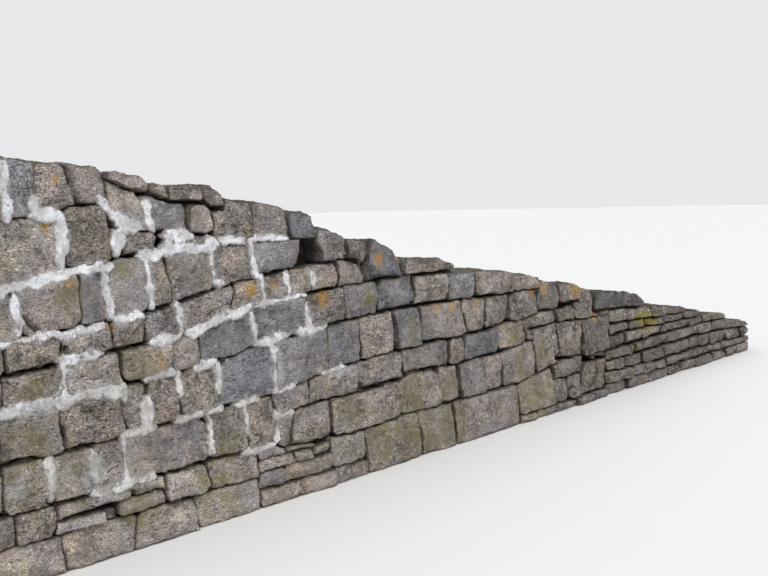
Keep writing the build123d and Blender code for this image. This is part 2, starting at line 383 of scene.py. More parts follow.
def hewn(half_x, half_z, deep, cell, crowned, flaggy, rng):
    """Formulas 1 to 3 on a block: ((u, y, w), quads, ring, depth, inside), with u and w in -1..1."""
    small = min(half_x, half_z)
    arris = min(rng.uniform(0.003, 0.008) + 0.9 * flaggy, small * 0.4)
    back = np.arange(0.02, deep, 0.03) if crowned else np.array([0.012, 0.035, 0.08])
    points, quads, ring = block(grid_lines(half_x, cell, arris), grid_lines(half_z, cell, arris),
                                [*back[back < deep - 0.015], deep])
    x, depth, z = points.T
    inside = np.minimum(half_x - abs(x), half_z - abs(z))
    broken = rng.random(4) < 0.27 + 50 * flaggy
    radii = np.where(broken, rng.uniform(*BROKEN, 4), rng.uniform(*SHARP, 4))
    x, z = break_corners(x, z, half_x, half_z, np.minimum(radii, small * 0.5), rng.random(4))
    taper = 1 - TAPER * np.clip(depth / deep, 0, 1)
    points = np.stack([x * taper, depth + arris_drop(inside, arris), z * (1 if crowned else taper)], 1)
    chipped = chip(points, half_x, half_z, rng, min(0.024, small * 0.3))
    return chipped.T / np.array([[half_x], [1], [half_z]]), quads, ring, depth, inside


# %% A stone between its neighbours
GAP = (0.0004, 0.0026)  # half a joint, before it is widened along the wall by these two rules
WIDER = (-2.0, 0.5), (1.0, 1.7)  # every joint, where nothing was pointed
WIDER_UPRIGHT = (-2.2, -0.6), (1.0, 2.4)  # and upright ones once more


def between(u, w, height, lower, upper, left, right, flaggy, rng):
    """x from joint to joint by u, z from bed to bed by w, less four gaps; slim is 1 for a tall stone."""
    (x0, lean0), (x1, lean1) = left, right
    mid = (x0 + x1) / 2
    upright = float(np.interp(mid, *WIDER_UPRIGHT))
    gap = rng.uniform(*GAP, 4) * float(np.interp(mid, *WIDER)) + GAP[0]
    gap = gap * (upright, upright, 1, 1) + flaggy * rng.uniform(0, 1.2, 4) ** 2 * 0.8
    xl, xr = x0 + lean0 * height + gap[0], x1 + lean1 * height - gap[1]
    x = (xl + xr) / 2 + u * (xr - xl) / 2
    zl, zh = level(lower, x), level(upper, x)
    slim = np.clip((zh - zl) / 0.09, 0.05, 1) ** 1.5
    zl = zl + gap[2] * slim
    zh = np.maximum(zh - gap[3] * slim, zl + 4 * flaggy)
    return x, (zl + zh) / 2 + w * (zh - zl) / 2, slim


def wandered(x, z, u, w, placed, rim, slim, seed):
    """x and z moved by the noise that all stones share, and by bites out of this stone's edges."""
    flat = on_face(x, z)
    bite = rim * (0.0022 * rough(placed, 0.025, 2, seed)
                  - 0.0110 * np.clip(rough(placed, 0.040, 3, seed + 5) - 0.08, 0, 0.8))
    off_ground = z > 0.004
    x = x + 0.0100 * rough(flat, 0.13, 4, 3) + bite * np.clip(u, -1, 1) ** 5
    return x, z + (0.0085 * rough(flat, 0.12, 4, 9) + bite * slim * np.clip(w, -1, 1) ** 5) * off_ground


# %% Its split face
FACE_BACK, FACE_PROUD = -0.030, 0.016  # the most that a face stands behind or before the batter


def split_face(u, w, along_x, height, placed, proud, flaggy, seed, rng):
    """How far the face stands out: its lowest plane, plus tilt, plus relief in three sizes."""
    tilt = rng.normal(0, 0.012) * along_x + rng.normal(0, 0.02) * height
    slopes, starts = rng.normal(0, 0.013, (rng.integers(2, 6), 2)), rng.uniform(0, 0.012, (6, 1))
    split = np.min(slopes @ np.stack([u, w]) + starts[:len(slopes)], axis=0)
    relief = 0.0055 * rough(placed, 0.12, 4, seed + 13)
    relief = relief + rng.uniform(0.0022, 0.0055) * rough(placed * (0.6, 1, 1.5), 0.035, 3, seed + 17)
    relief = relief + flaggy * rough(placed * (0.15, 1, 1.6), 0.05, 2, seed + 19)
    return np.clip(proud + split + tilt + relief, FACE_BACK, FACE_PROUD)


# %% Laying a stone
SETBACK = 0.006  # how far the mean face stands behind face(z)


def lay(lower, upper, left, right, deep, rng, cell, proud, crowned, flaggy, pointed):
    """One stone between two joints and two beds: (vertices, quads, closing ring, distance inside)."""
    mid = (left[0] + right[0]) / 2
    half_x, half_z = (right[0] - left[0]) / 2, float(level(upper, mid) - level(lower, mid)) / 2
    (u, y, w), quads, ring, depth, inside = hewn(half_x, half_z, deep, cell, crowned, flaggy, rng)
    height = w * half_z
    x, z, slim = between(u, w, height, lower, upper, left, right, flaggy, rng)
    placed = np.stack([x, y, z], 1)
    seed = rng.integers(1, 60)
    rim = np.clip(1 - inside / 0.03, 0, 1) ** 2
    x, z = wandered(x, z, u, w, placed, rim, slim, seed)
    if crowned:
        top = np.clip(w, 0, 1) * slim
        z = z + 0.011 * rough(placed, 0.10, 3, seed + 3) * top
        z = z - rng.uniform(0.006, 0.018) * top**6 * np.exp(-depth / 0.02)
    out = split_face(u, w, x - mid, height, placed, proud, flaggy, seed, rng)
    spall = 0.014 * rim * np.clip(rough(placed, 0.05, 3, seed + 23) + 0.05, 0, 1)
    if pointed:
        under = np.clip(2.4 * smeared(x, z, 0.060) - 1.4, 0, 1)
        out = out - 0.85 * under * (out + 0.001)
        spall = spall * (1 - under) + 0.075 * np.clip(1.6 * blots(x, z, HOLLOWS, 37), 0, 1)
        spall = spall + 0.055 * gaping(x, z)
    near = np.clip(1 - depth / 0.15, 0, 1)
    y = -face(z) + SETBACK + y + (spall - out) * near
    return np.stack([np.clip(x, LEFT, RIGHT), y, np.maximum(z, 0)], 1), quads, ring, inside


# %% [markdown]
# ## Marks on the wall
#
# Orange lichen, algae, moss, hollows where a corner or a shim is gone, the haze
# of lime beside the pointing, the strokes of the trowel, and the joints that
# stand open are each in one place on this wall. They are lists of spots
# (x, z, radius) and of strokes (x, z, x, z, width), and noise makes them ragged.

# %% Growths and hollows
ORANGE = [
    (-3.27, 1.88, 0.035), (-3.34, 1.66, 0.035), (-2.99, 1.71, 0.025), (-3.24, 1.385, 0.03),
    (-3.03, 1.14, 0.032), (-2.76, 0.92, 0.05), (-2.12, 1.24, 0.045), (-1.95, 1.24, 0.04),
    (-1.57, 1.14, 0.07), (-1.05, 1.34, 0.045), (-0.83, 1.34, 0.04), (-0.5, 0.96, 0.035),
    (-0.35, 0.96, 0.045), (-0.06, 0.96, 0.03), (0.66, 0.96, 0.06), (0.8, 0.98, 0.045),
    (1.25, 0.94, 0.08), (1.5, 0.67, 0.06), (-4.05, 1.55, 0.05), (-4.3, 1.02, 0.04),
]
ALGAE = [
    (-3.24, 1.3, 0.08), (-2.95, 1.44, 0.1), (-3.45, 0.9, 0.1), (-3.62, 0.5, 0.14), (-2.9, 0.93, 0.14),
    (-1.4, 0.4, 0.13), (-0.78, 0.45, 0.17), (-0.42, 0.42, 0.12), (0.4, 0.44, 0.14), (0.68, 0.5, 0.13),
    (-1.15, 0.18, 0.2), (-0.8, 0.16, 0.24), (-0.45, 0.18, 0.2), (0.55, 0.18, 0.26), (0.8, 0.18, 0.16),
    (-0.77, 0.86, 0.09), (-1.15, 1.1, 0.09), (0.36, 0.68, 0.09), (2.15, 0.32, 0.08), (-4.1, 0.45, 0.22),
    (-3.5, 0.68, 0.12), (-3.3, 0.46, 0.12), (-2.36, 0.4, 0.1), (-2.49, 0.22, 0.15), (-2.95, 0.2, 0.15),
]
MOSS = [(2.28, 0.565, 0.085), (2.4, 0.555, 0.1), (2.53, 0.54, 0.08), (2.18, 0.6, 0.05)]
HOLLOWS = [
    (-1.163, 1.282, 0.03), (-1.273, 1.356, 0.032), (-0.777, 1.235, 0.022), (-0.925, 0.735, 0.026),
    (-0.545, 0.545, 0.026), (-1.282, 0.559, 0.02), (-0.732, 1.022, 0.018), (-0.339, 1.166, 0.02),
    (-3.339, 0.616, 0.02), (-2.966, 0.285, 0.018), (-3.437, 0.363, 0.018), (-3.389, 0.328, 0.015),
    (-3.286, 1.067, 0.014), (-2.339, 0.872, 0.015), (-3.677, 0.55, 0.02), (1.601, 0.709, 0.035),
    (0.748, 0.826, 0.02), (0.969, 0.433, 0.035), (3.005, 0.084, 0.045), (1.127, 0.139, 0.03),
    (-3.147, 1.77, 0.016), (-2.333, 1.714, 0.03), (-2.797, 1.796, 0.018), (-2.923, 1.506, 0.014),
    (2.05, 0.38, 0.03), (2.7, 0.29, 0.03), (3.35, 0.3, 0.03), (2.4, 0.49, 0.028),
]
HAZE = [
    (-3.62, 0.47, 0.16), (-3.4, 0.46, 0.13), (-3.22, 0.44, 0.14), (-3.36, 0.88, 0.1),
    (-3.05, 0.96, 0.08), (-3.14, 1.08, 0.07), (-2.98, 0.62, 0.1), (-2.84, 1.66, 0.08),
    (-2.62, 1.5, 0.08), (-2.84, 1.4, 0.07), (-3.46, 1.75, 0.1), (-3.36, 1.6, 0.08), (-2.55, 0.93, 0.07),
    (-2.3, 0.62, 0.08), (-1.92, 1.2, 0.07), (-4.1, 1.55, 0.14), (-4.0, 0.9, 0.14), (-4.3, 0.5, 0.14),
]

# %% Strokes of the pointing trowel
STROKES = [
    (-3.525, 1.69, -3.52, 1.95, 0.026), (-3.385, 1.7, -3.39, 1.8, 0.032),
    (-3.4, 1.712, -3.26, 1.71, 0.04), (-3.028, 1.778, -2.965, 1.7, 0.026),
    (-2.64, 1.56, -2.657, 1.48, 0.05), (-2.82, 1.48, -2.66, 1.48, 0.036),
    (-3.27, 1.45, -3.25, 1.7, 0.044), (-3.64, 1.355, -3.48, 1.385, 0.036),
    (-3.48, 1.385, -3.2, 1.432, 0.044), (-3.2, 1.435, -2.99, 1.438, 0.03),
    (-3.515, 1.16, -3.53, 1.36, 0.04), (-3.64, 1.125, -3.32, 1.145, 0.02),
    (-3.31, 1.13, -3.08, 1.15, 0.028), (-3.045, 1.41, -3.02, 1.2, 0.02),
    (-2.99, 1.175, -2.85, 1.178, 0.028), (-2.79, 1.46, -2.77, 1.22, 0.036),
    (-2.8, 1.465, -2.6, 1.493, 0.032), (-2.96, 1.69, -2.81, 1.628, 0.06),
    (-2.95, 1.6, -2.955, 1.5, 0.042), (-2.775, 1.76, -2.745, 1.62, 0.048),
    (-2.66, 1.565, -2.5, 1.565, 0.05), (-2.66, 1.5, -2.34, 1.495, 0.034),
    (-2.4, 1.53, -2.14, 1.525, 0.045), (-2.1, 1.522, -1.8, 1.512, 0.02),
    (-2.375, 1.49, -2.365, 1.31, 0.014), (-2.37, 1.31, -2.3, 1.295, 0.03),
    (-2.085, 1.51, -2.065, 1.32, 0.03), (-2.03, 1.31, -2.02, 1.14, 0.026),
    (-2.57, 1.045, -2.4, 1.085, 0.04), (-2.4, 1.085, -2.13, 1.14, 0.034),
    (-2.8, 1.03, -2.62, 1.045, 0.032), (-2.62, 1.2, -2.61, 1.05, 0.02), (-2.08, 1.155, -1.7, 1.17, 0.03),
    (-1.84, 1.3, -1.82, 1.19, 0.03), (-1.64, 1.3, -1.63, 1.22, 0.03), (-2.12, 1.1, -2.1, 0.94, 0.02),
    (-1.7, 1.12, -1.69, 0.95, 0.024), (-2.06, 0.93, -1.85, 0.95, 0.028),
    (-1.78, 0.96, -1.56, 0.972, 0.024), (-1.985, 0.9, -1.945, 0.8, 0.04),
    (-1.945, 0.8, -1.975, 0.67, 0.04), (-1.98, 0.65, -1.84, 0.66, 0.026),
    (-1.62, 0.69, -1.4, 0.692, 0.026), (-2.01, 0.505, -1.87, 0.505, 0.028),
    (-2.54, 0.87, -2.4, 0.875, 0.034), (-2.39, 0.86, -2.38, 0.72, 0.028),
    (-3.66, 0.81, -3.38, 0.828, 0.044), (-3.38, 0.832, -3.1, 0.832, 0.078),
    (-3.1, 0.832, -2.98, 0.812, 0.056), (-2.99, 0.85, -2.98, 0.76, 0.03),
    (-2.85, 0.74, -2.865, 0.61, 0.048), (-2.84, 0.85, -2.65, 0.862, 0.028),
    (-2.645, 0.86, -2.645, 0.74, 0.03), (-3.31, 1.005, -3.1, 1.02, 0.036),
    (-3.315, 0.98, -3.31, 0.85, 0.04), (-2.68, 0.602, -2.38, 0.614, 0.018),
    (-2.28, 0.617, -2.12, 0.62, 0.022), (-2.215, 0.61, -2.21, 0.44, 0.016),
    (-3.43, 0.57, -3.435, 0.38, 0.034), (-3.19, 0.54, -3.18, 0.38, 0.04),
    (-3.2, 0.345, -2.95, 0.355, 0.04), (-2.95, 0.35, -2.84, 0.342, 0.03),
    (-2.24, 0.348, -2.03, 0.348, 0.034), (-2.01, 0.36, -2.0, 0.43, 0.028),
    (-3.012, 0.58, -3.012, 0.4, 0.014), (-2.47, 0.6, -2.465, 0.4, 0.014),
    (-2.99, 0.59, -2.82, 0.598, 0.02), (-4.46, 1.68, -4.1, 1.7, 0.034), (-3.9, 1.69, -3.64, 1.695, 0.03),
    (-4.13, 1.69, -4.12, 1.38, 0.036), (-3.9, 1.67, -3.89, 1.4, 0.03),
    (-4.48, 1.345, -4.05, 1.352, 0.036), (-3.86, 1.34, -3.85, 1.14, 0.034),
    (-4.24, 1.33, -4.23, 1.15, 0.03), (-4.4, 1.118, -3.9, 1.125, 0.028),
    (-4.46, 0.978, -4.15, 0.98, 0.034), (-3.95, 0.97, -3.95, 0.82, 0.032),
    (-4.3, 0.803, -3.85, 0.808, 0.04), (-4.2, 0.79, -4.19, 0.58, 0.036), (-3.92, 0.79, -3.92, 0.6, 0.03),
    (-4.45, 0.568, -4.1, 0.57, 0.034), (-4.16, 0.55, -4.15, 0.36, 0.03),
    (-4.15, 1.98, -4.14, 1.74, 0.032), (-3.85, 1.96, -3.84, 1.74, 0.034),
]

# %% Joints that stand open
OPEN = [
    (-1.33, 1.372, -1.216, 1.335, 0.024), (-1.216, 1.335, -1.147, 1.291, 0.024),
    (-1.147, 1.291, -1.122, 1.237, 0.034), (-1.138, 1.222, -0.846, 1.203, 0.018),
    (-0.815, 1.254, -0.795, 1.215, 0.024), (-0.511, 1.208, -0.32, 1.19, 0.01),
    (-1.695, 1.172, -1.46, 1.192, 0.01), (-2.049, 1.312, -1.809, 1.33, 0.01),
    (-1.568, 0.967, -1.37, 0.977, 0.01), (-1.363, 1.037, -1.347, 0.985, 0.01),
    (-1.07, 1.0, -0.741, 1.005, 0.012), (-0.733, 1.003, -0.339, 0.998, 0.012),
    (-0.082, 0.99, 0.19, 0.992, 0.012), (-1.05, 1.19, -1.05, 1.11, 0.012),
    (-0.66, 0.748, -0.437, 0.746, 0.014), (-0.219, 0.748, 0.008, 0.75, 0.012),
    (0.049, 0.754, 0.327, 0.768, 0.012), (-1.296, 0.542, -0.894, 0.55, 0.012),
    (-0.86, 0.575, -0.543, 0.568, 0.016), (-0.567, 0.308, -0.302, 0.307, 0.012),
    (-0.387, 0.706, -0.401, 0.573, 0.01), (-0.052, 0.56, 0.308, 0.582, 0.01),
    (-1.568, 1.348, -1.46, 1.35, 0.012), (-3.194, 1.92, -3.139, 1.754, 0.016),
    (-3.144, 1.748, -3.085, 1.745, 0.014), (-2.817, 1.797, -2.768, 1.792, 0.014),
    (-2.709, 1.778, -2.536, 1.748, 0.022), (-2.536, 1.746, -2.384, 1.742, 0.022),
    (-2.377, 1.716, -2.301, 1.704, 0.024), (-2.686, 1.598, -2.564, 1.582, 0.01),
    (-2.49, 1.574, -2.392, 1.564, 0.01), (-2.923, 1.482, -2.684, 1.491, 0.01),
    (-3.547, 1.375, -3.456, 1.39, 0.01), (-2.775, 1.198, -2.631, 1.212, 0.012),
    (-2.631, 1.212, -2.423, 1.254, 0.01), (-3.49, 1.238, -3.408, 1.145, 0.012),
    (-3.408, 1.142, -3.269, 1.152, 0.012), (-3.587, 0.981, -3.431, 0.99, 0.01),
    (-3.389, 0.993, -3.276, 1.001, 0.01), (-3.112, 1.011, -2.794, 1.03, 0.012),
    (-2.948, 0.843, -2.821, 0.85, 0.012), (-3.352, 0.744, -3.339, 0.616, 0.012),
    (-3.325, 0.578, -3.173, 0.581, 0.014), (-3.675, 0.574, -3.48, 0.577, 0.018),
    (-3.401, 0.338, -3.223, 0.34, 0.014), (-3.374, 0.25, -3.231, 0.258, 0.012),
    (-3.231, 0.258, -3.084, 0.262, 0.018), (-2.881, 0.342, -2.79, 0.343, 0.012),
    (-2.759, 0.343, -2.491, 0.346, 0.012), (-2.467, 0.346, -2.252, 0.348, 0.01),
    (-2.762, 0.186, -2.605, 0.186, 0.014), (-2.427, 0.878, -2.37, 0.883, 0.012),
    (-2.362, 0.615, -2.281, 0.617, 0.012), (-2.785, 0.598, -2.692, 0.602, 0.012),
    (0.757, 0.801, 0.915, 0.801, 0.014), (1.537, 0.722, 1.691, 0.716, 0.02),
    (0.548, 0.688, 0.746, 0.695, 0.012), (0.992, 0.41, 1.133, 0.402, 0.016),
    (1.318, 0.555, 1.329, 0.421, 0.014), (1.345, 0.35, 1.5, 0.365, 0.03),
    (1.523, 0.345, 1.65, 0.322, 0.014), (0.9, 0.43, 0.967, 0.405, 0.02),
    (0.622, 0.342, 0.846, 0.372, 0.012), (1.077, 0.066, 1.246, 0.066, 0.012),
    (1.29, 0.066, 1.572, 0.066, 0.012), (1.831, 0.498, 1.968, 0.497, 0.014),
    (2.14, 0.578, 2.285, 0.574, 0.012), (1.87, 0.383, 2.3, 0.388, 0.014),
    (2.42, 0.39, 2.906, 0.398, 0.014), (2.11, 0.291, 2.897, 0.292, 0.012),
    (2.899, 0.294, 3.437, 0.3, 0.012), (2.844, 0.098, 3.041, 0.1, 0.016),
    (3.544, 0.299, 3.938, 0.283, 0.01), (3.309, 0.098, 3.772, 0.098, 0.01),
    (2.419, 0.178, 2.917, 0.178, 0.012),
]
print("spots", [len(s) for s in (ORANGE, ALGAE, MOSS, HOLLOWS, HAZE)], "strokes", len(STROKES), len(OPEN))


# %% From marks to a share of each point
def blots(x, z, spots, seed):
    """Highest of 1.25 - distance / radius over the spots, with a ragged edge, in 0..1."""
    ragged = 0.45 * rough(on_face(x, z), 0.05, 3, seed)
    best = np.zeros(len(x))
    for sx, sz, radius in spots:
        best = np.maximum(best, 1.25 - np.hypot(x - sx, z - sz) / radius)
    return np.clip(best + ragged * (best > 0), 0, 1)


def along(x, z, lines, soft, wander, swing):
    """Highest of 1 - (distance to a line - half width * swing - wander) / soft over the lines, in 0..1."""
    best = np.zeros(len(x))
    for ax, az, bx, bz, width in lines:
        run, reach = np.array([bx - ax, bz - az]), soft + 1.8 * width + 0.03
        close = (x > min(ax, bx) - reach) & (x < max(ax, bx) + reach)
        close &= abs(z - (az + bz) / 2) < abs(bz - az) / 2 + reach
        px, pz = x[close] - ax, z[close] - az
        t = np.clip((px * run[0] + pz * run[1]) / (run @ run), 0, 1)
        thick = width / 2 * swing[close] * np.sqrt(1 - 0.9 * (2 * t - 1) ** 4)
        gap = np.hypot(px - t * run[0], pz - t * run[1]) - thick - wander[close]
        best[close] = np.maximum(best[close], 1 - np.maximum(gap, 0) / soft)
    return best


def smeared(x, z, soft):
    """How much a point is under the strokes of mortar, whose width swings and whose edges wander."""
    points = on_face(x, z)
    wander = 0.013 * rough(points, 0.048, 3, 21) + 0.006 * rough(points, 0.015, 2, 23)
    return along(x, z, STROKES, soft, wander, 0.84 + 0.8 * noise(points, 0.10, 25))


def gaping(x, z):
    """How much a point is in an open joint."""
    points = on_face(x, z)
    return along(x, z, OPEN, 0.009, 0.003 * rough(points, 0.03, 2, 27), 1.0 + 0.7 * noise(points, 0.06, 29))


# %% [markdown]
# ## From arrays to pieces
#
# All the stones of one course and one face go into one mesh. Each vertex also
# carries what the materials need: the stone's colour, how far it lies inside
# the outline, and how much lichen, algae, moss and lime is on it. One material
# can so colour every stone by itself.

# %% How a letter looks: blue share, brightness, crust, pits, dark blotches, how much they vary
LOOKS = {
    "n": (0.25, 1.02, 0.40, 0.60, 0.50, 0.70), "d": (0.20, 1.32, 0.70, 0.50, 0.25, 0.60),
    "b": (0.78, 0.94, 0.16, 0.45, 0.42, 0.55), "w": (0.15, 0.86, 0.50, 0.95, 0.85, 0.95),
    "c": (0.12, 1.12, 1.05, 0.75, 0.45, 1.05), "y": (0.12, 1.09, 0.30, 0.50, 0.30, 0.55),
    "m": (0.30, 0.60, 0.30, 0.60, 0.60, 0.80),
}
SPREAD = (0.16, 0.09, 0.16, 0.16, 0.18, 0.22)  # how far stones of one letter differ
# Painted light and shade along the wall: stones are made brighter at the tall end and darker towards the low
# end.
LIGHT_AND_SHADE_ALONG = (LEFT, -2.6, -1.9, 0.8, 1.8, RIGHT), (1.36, 1.30, 1.16, 1.16, 0.72, 0.60)  # darker to the low end


def looks_of(letter, inside, rng, x=0.0):
    """The stone's eight look numbers, jittered, repeated for each of its vertices."""
    blue, bright, crust, pits, blotch, vary = np.array(LOOKS[letter]) + rng.normal(0, 1, 6) * SPREAD
    # painted light and shade: the brightness is scaled by where the stone stands along the wall
    bright = bright * np.interp(x, *LIGHT_AND_SHADE_ALONG)
    same = np.clip([blue, bright, crust, pits, blotch, vary, rng.uniform(0, 1)], 0, 2)
    table = np.tile(same, (len(inside), 1))
    return np.insert(table, 3, np.clip(inside / 0.030, 0, 1), axis=1)


def dressed(points, looks, front=True):
    """Layers: tone (blue, brightness, crust, inside), kind (pits, blotches, vary, seed) and growth."""
    x, z = points[:, 0], points[:, 2]
    growth = np.zeros((len(x), 4))
    if front:
        growth[:, 0] = blots(x, z, ORANGE, 31)
        growth[:, 1] = blots(x, z, ALGAE, 33)
        growth[:, 2] = blots(x, z, MOSS, 35)
        growth[:, 3] = np.maximum(smeared(x, z, 0.080), 0.85 * blots(x, z, HAZE, 39))
    return {"tone": looks[:, :4], "kind": looks[:, 4:], "growth": growth}


# %% A mesh piece from arrays
def joined(parts):
    """Stacks (vertices, quads, ring, looks) parts into one, moving the corner numbers on."""
    starts = np.cumsum([0] + [len(p[0]) for p in parts[:-1]])
    points = np.concatenate([p[0] for p in parts])
    quads = np.concatenate([p[1] + s for p, s in zip(parts, starts)])
    rings = [p[2] + s for p, s in zip(parts, starts) if p[2] is not None]
    return points, quads, rings, np.concatenate([p[3] for p in parts])


def mesh_piece(name, points, quads, rings, stands_for, layers):
    """Makes a smooth mesh object of quads and closing rings, and hides the frame's parts that it stands for.
    """
    loops = np.concatenate([quads.ravel(), *rings]).astype(np.int32)
    totals = np.concatenate([np.full(len(quads), 4), [len(r) for r in rings]]).astype(np.int32)
    mesh = bpy.data.meshes.new(name)
    mesh.vertices.add(len(points))
    mesh.vertices.foreach_set("co", points.astype(np.float32).ravel())
    mesh.loops.add(len(loops))
    mesh.loops.foreach_set("vertex_index", loops)
    mesh.polygons.add(len(totals))
    mesh.polygons.foreach_set("loop_start", np.cumsum(totals, dtype=np.int32) - totals)
    mesh.polygons.foreach_set("loop_total", totals)
    mesh.update(calc_edges=True)
    mesh.validate()
    mesh.shade_smooth()
    for layer, values in layers.items():
        attribute = mesh.attributes.new(layer, "FLOAT_COLOR", "POINT")
        attribute.data.foreach_set("color", values.astype(np.float32).ravel())
    piece = bpy.data.objects.new(name, mesh)
    bpy.context.scene.collection.objects.link(piece)
    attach(piece, "root")
    if stands_for:
        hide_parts(*stands_for)
    return piece


# %% Laying the rows
def leaning(joint, rng):
    """A joint as (distance, lean), with a small random lean where none is given."""
    return joint if isinstance(joint, tuple) else (joint, rng.normal(0, 0.08))


FLAGGY, SQUARED = 0.0045, 0.001  # how loosely thin flags and squared stones are laid
THINNEST = 0.03  # a stone that the head leaves lower than this isn't laid


def under_head(line):
    """The bed line, or the head where lower, at stations every 5 mm and at every point of the head."""
    stations = np.unique(np.concatenate([np.arange(LEFT, RIGHT, 0.005), [RIGHT], [p[0] for p in HEAD]]))
    return list(zip(stations, np.minimum(level(line, stations), level(HEAD, stations))))


def stones_of(rows, cells, first_seed, pointed):
    """Every row as laid stones, gathered by course. Cells: grid size at the tall end, middle and low end."""
    courses = {}
    for r, (course, lower, upper, joints, letters) in enumerate(rows):
        rng = np.random.default_rng(first_seed + r)
        low, top = under_head(lower), under_head(upper)
        joints = [leaning(joint, rng) for joint in joints]
        flaggy = FLAGGY if THIN in course else SQUARED
        for left, right, letter in zip(joints, joints[1:], letters):
            mid = (left[0] + right[0]) / 2
            tall = float(level(top, mid) - level(low, mid))
            if letter == "." or tall < THINNEST:
                continue
            crowned = abs(float(level(HEAD, mid) - level(top, mid))) < 0.002
            cell = float(np.interp(mid, (LEFT, 0.0, RIGHT), cells))
            proud = -0.016 if letter == "m" else rng.uniform(-0.004, 0.008) - flaggy * rng.uniform(-0.8, 2.6)
            deep = float(face(level(low, mid) + tall / 2)) - CORE_HALF - 0.004
            *solid, inside = lay(low, top, left, right, deep, rng, cell, proud, crowned, flaggy, pointed)
            courses.setdefault(course, []).append((*solid, looks_of(letter, inside, rng, mid)))
    return courses


# %% The two leaves
def raised(side, courses):
    """One piece for each course of a leaf. The back is laid like a front, and then mirrored in y."""
    pieces = []
    for course, parts in courses.items():
        points, quads, rings, looks = joined(parts)
        layers = dressed(points, looks, front=side == "front")
        if side == "back":
            points, quads, rings = points * (1, -1, 1), quads[:, ::-1], [r[::-1] for r in rings]
        finish = "thin_bedded_stone" if THIN in course else "course_stone"
        node = f"{side}_{course}"
        pieces.append(mesh_piece("stones_" + node, points, quads, rings, [node], layers))
    print(side, "pieces", len(pieces), "quads", [len(p.data.polygons) for p in pieces])
    return pieces


front_pieces = raised("front", stones_of(ROWS, (0.0080, 0.0096, 0.016), 500, pointed=True))
back_pieces = raised("back", stones_of(BACK_ROWS, (0.028, 0.028, 0.030), 900, pointed=False))

# %% [markdown]
# ## Loose cope slabs
#
# Seven flat stones lie on the steps of the head. Each could be a box set down
# on it, but a real one touches along its whole length, so its underside is the
# head itself and its top a line of its own.

# %% Slabs: node, first and last station, top line, front and back in y, letter
SLABS = [
    ("cope_slab_1", -2.98, -2.745, [(-2.96, 1.908), (-2.8, 1.884), (-2.75, 1.85)], -0.232, 0.118, "c"),
    ("cope_slab_2", -2.738, -2.63, [(-2.725, 1.848), (-2.65, 1.836)], -0.228, 0.06, "c"),
    ("cope_slab_3", -2.622, -2.408, [(-2.6, 1.832), (-2.44, 1.834)], -0.23, 0.14, "n"),
    ("cope_slab_4", -2.4, -2.262, [(-2.395, 1.832), (-2.34, 1.826), (-2.27, 1.772)], -0.228, 0.095,
     "w"),
    ("cope_slab_5", -1.785, -1.562, [(-1.775, 1.655), (-1.7, 1.664), (-1.6, 1.625), (-1.566, 1.56)],
     -0.24, 0.1, "b"),
    ("cope_slab_6", -0.792, -0.296, [(-0.78, 1.318), (-0.48, 1.3), (-0.3, 1.248)], -0.252, 0.19, "n"),
    ("cope_slab_7", 1.525, 2.355, [(1.535, 0.878), (2.0, 0.84), (2.24, 0.79), (2.345, 0.728)], -0.268,
     0.215, "b"),
]
SLAB_CELL, SLAB_ARRIS = 0.011, 0.008


def slab(x0, x1, top, front, back, letter, seed):
    """A flat stone: its underside follows the head, undercut at the front, and its top its own line."""
    rng = np.random.default_rng(seed)
    half_x, half_z, deep = (x1 - x0) / 2, 0.05, back - front
    across, up = (grid_lines(half, SLAB_CELL, SLAB_ARRIS) for half in (half_x, half_z))
    points, quads, ring = block(across, up, np.append(np.arange(0.015, deep - 0.01, 0.025), deep))
    x, depth, z = points.T
    inside = np.minimum(half_x - abs(x), half_z - abs(z))
    x, z = break_corners(x, z, half_x, half_z, rng.uniform(0.008, 0.026, 4), rng.random(4))
    thin = np.min(level(top, [x0, x1]) - level(HEAD, [x0, x1]))
    points = chip(np.stack([x, depth + arris_drop(inside, SLAB_ARRIS), z], 1), half_x, half_z, rng,
                  min(0.034, 0.40 * thin), most=7)
    x, y, w = points.T / np.array([[1], [1], [half_z]])
    x, y = x + (x0 + x1) / 2, y + front
    slim = np.clip((level(top, x) - level(HEAD, x)) / 0.08, 0.2, 1) ** 1.5
    undercut = rng.uniform(0.012, 0.020) * np.exp(-depth / 0.05)
    undercut = undercut * np.clip(rough(points, 0.12, 2, seed) + 0.7, 0, 1)
    low, high = level(HEAD, x) + 0.001 + undercut * slim, level(top, x)
    placed = np.stack([x, y, (low + high) / 2 + w * (high - low) / 2], 1)
    upper = np.clip((w + 1) / 2, 0, 1)
    jag_x = 0.007 * rough(placed, 0.06, 3, seed)
    jag_y = 0.013 * rough(placed, 0.08, 4, seed + 3) + 0.007 * rough(placed * (0.2, 1, 2), 0.03, 2, seed + 9)
    jag_z = (0.009 * rough(placed, 0.05, 3, seed + 6) + 0.004 * rough(placed, 0.02, 2, seed)) * upper * slim
    looks = looks_of(letter, inside, rng, (x0 + x1) / 2)
    return placed + np.stack([jag_x, jag_y, jag_z], 1), quads, [ring], looks


cope_pieces = []
for i, (node, *shape) in enumerate(SLABS):
    points, quads, rings, looks = slab(*shape, 20 + i)
    piece = mesh_piece("stone_" + node, points, quads, rings, [node], dressed(points, looks))
    cope_pieces.append(piece)
print("cope slabs", len(cope_pieces))

# %% [markdown]
# ## Hearting
#
# Between the leaves a mason throws what is too small for the face. It shows
# only at the head, at the ends and through the gaps, so one rough mass a little
# below the head stands for most of it, and small broken stones are packed over
# its top and its two ends. Few faces make a small stone.


